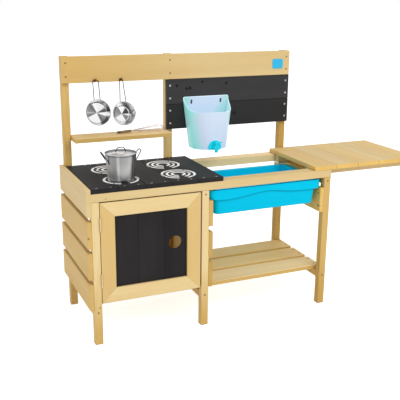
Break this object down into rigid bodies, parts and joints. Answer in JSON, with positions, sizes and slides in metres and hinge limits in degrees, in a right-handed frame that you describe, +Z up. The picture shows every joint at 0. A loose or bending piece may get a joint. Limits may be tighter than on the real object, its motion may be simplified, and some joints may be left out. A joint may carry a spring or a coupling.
{
  "type": "mud kitchen",
  "caption": "Timber play kitchen: hob, cupboard with a hinged door, worktop sliding over a water tray, dispenser with a tap, shelves, hanging pans and a pot.",
  "frame": {"origin": "middle of the front left foot, on the floor", "axes": "+Z up, +X to the right along the front, +Y from the front to the back"},
  "size_m": [1.387, 0.4005, 0.982],
  "materials": {
    "planed_pine": "planed, oiled, satin",
    "black_stained_pine": "stained, satin",
    "zinc_steel": "zinc plated",
    "dark_screw_steel": "blackened",
    "brass_plate": "plated",
    "white_plastic": "moulded",
    "blue_plastic": "moulded, satin gloss",
    "clear_turquoise_plastic": "translucent, moulded",
    "turquoise_plastic": "moulded",
    "polished_steel": "spun and polished",
    "turned_wood": "turned, varnished"
  },
  "bodies": {
    "frame": {"front_left_leg": "planed_pine", "front_middle_leg": "planed_pine", "front_right_leg": "planed_pine", "back_left_post": "planed_pine", "back_middle_post": "planed_pine", "back_right_post": "planed_pine", "top_side_rails": "planed_pine", "low_side_rails": "planed_pine", "front_rail": "planed_pine", "back_rail": "planed_pine", "left_slat_1": "planed_pine", "left_slat_2": "planed_pine", "left_slat_3": "planed_pine", "left_slat_4": "planed_pine", "partition_slat_1": "planed_pine", "partition_slat_2": "planed_pine", "partition_slat_3": "planed_pine", "right_slat": "planed_pine", "floor_board_1": "planed_pine", "floor_board_2": "planed_pine", "floor_board_3": "planed_pine", "top_back_board": "planed_pine", "small_shelf": "planed_pine", "black_board_1": "black_stained_pine", "black_board_2": "black_stained_pine", "hob_board_1": "black_stained_pine", "hob_board_2": "black_stained_pine", "hob_board_3": "black_stained_pine", "hob_board_4": "black_stained_pine", "hob_board_5": "black_stained_pine", "hinge_leg_leaves": "zinc_steel", "hinge_pins": "zinc_steel", "magnetic_catch": "white_plastic", "hanging_screws": "dark_screw_steel", "pan_hooks": "brass_plate"},
    "door": {"door_left_stile": "planed_pine", "door_right_stile": "planed_pine", "door_top_rail": "planed_pine", "door_bottom_rail": "planed_pine", "door_panel_board_1": "black_stained_pine", "door_panel_board_2": "black_stained_pine", "door_panel_board_3": "black_stained_pine", "hinge_door_leaves": "zinc_steel", "catch_plate": "zinc_steel"},
    "worktop": {"worktop_boards": "planed_pine", "worktop_runners": "planed_pine", "worktop_keepers": "zinc_steel"},
    "tray": {"water_tray": "blue_plastic"},
    "dispenser": {"dispenser": "clear_turquoise_plastic", "tap_body": "turquoise_plastic"},
    "tap_lever": {"tap_lever": "turquoise_plastic"},
    "large_pan": {"large_pan": "polished_steel", "large_pan_handle": "polished_steel"},
    "small_pan": {"small_pan": "polished_steel", "small_pan_handle": "polished_steel"},
    "pot": {"pot": "polished_steel", "pot_handles": "polished_steel"},
    "pot_lid": {"pot_lid": "polished_steel"},
    "whisk": {"whisk_handle": "turned_wood", "whisk_wires": "polished_steel"}
  },
  "joints": [
    {"name": "door_hinge", "type": "hinge", "parent": "frame", "child": "door", "pos_m": [0.015, -0.017, 0.338], "axis": [0, 0, 1], "range_deg": [-170, 0]},
    {"name": "worktop_slide", "type": "slide", "parent": "frame", "child": "worktop", "axis": [1, 0, 0], "range_m": [-0.3875, 0]},
    {"name": "tray_slide", "type": "slide", "parent": "frame", "child": "tray", "axis": [0, -1, 0], "range_m": [0, 0.18]},
    {"name": "dispenser_lift", "type": "slide", "parent": "frame", "child": "dispenser", "axis": [0, 0, 1], "range_m": [0, 0.008]},
    {"name": "tap_lever_turn", "type": "hinge", "parent": "dispenser", "child": "tap_lever", "pos_m": [0.5605, 0.22965, 0.639], "axis": [0, 0, 1], "range_deg": [-90, 0]},
    {"name": "large_pan_swing", "type": "hinge", "parent": "frame", "child": "large_pan", "pos_m": [0.108, 0.328, 0.895], "axis": [1, 0, 0], "range_deg": [-35, 20]},
    {"name": "small_pan_swing", "type": "hinge", "parent": "frame", "child": "small_pan", "pos_m": [0.207, 0.328, 0.895], "axis": [1, 0, 0], "range_deg": [-35, 20]},
    {"name": "pot_lift", "type": "slide", "parent": "frame", "child": "pot", "axis": [0, 0, 1], "range_m": [0, 0.12]},
    {"name": "pot_lid_lift", "type": "slide", "parent": "pot", "child": "pot_lid", "axis": [0, 0, 1], "range_m": [0, 0.08]},
    {"name": "whisk_lift", "type": "slide", "parent": "frame", "child": "whisk", "axis": [0, -0.94, 0.3412], "range_m": [0, 0.06]}
  ]
}
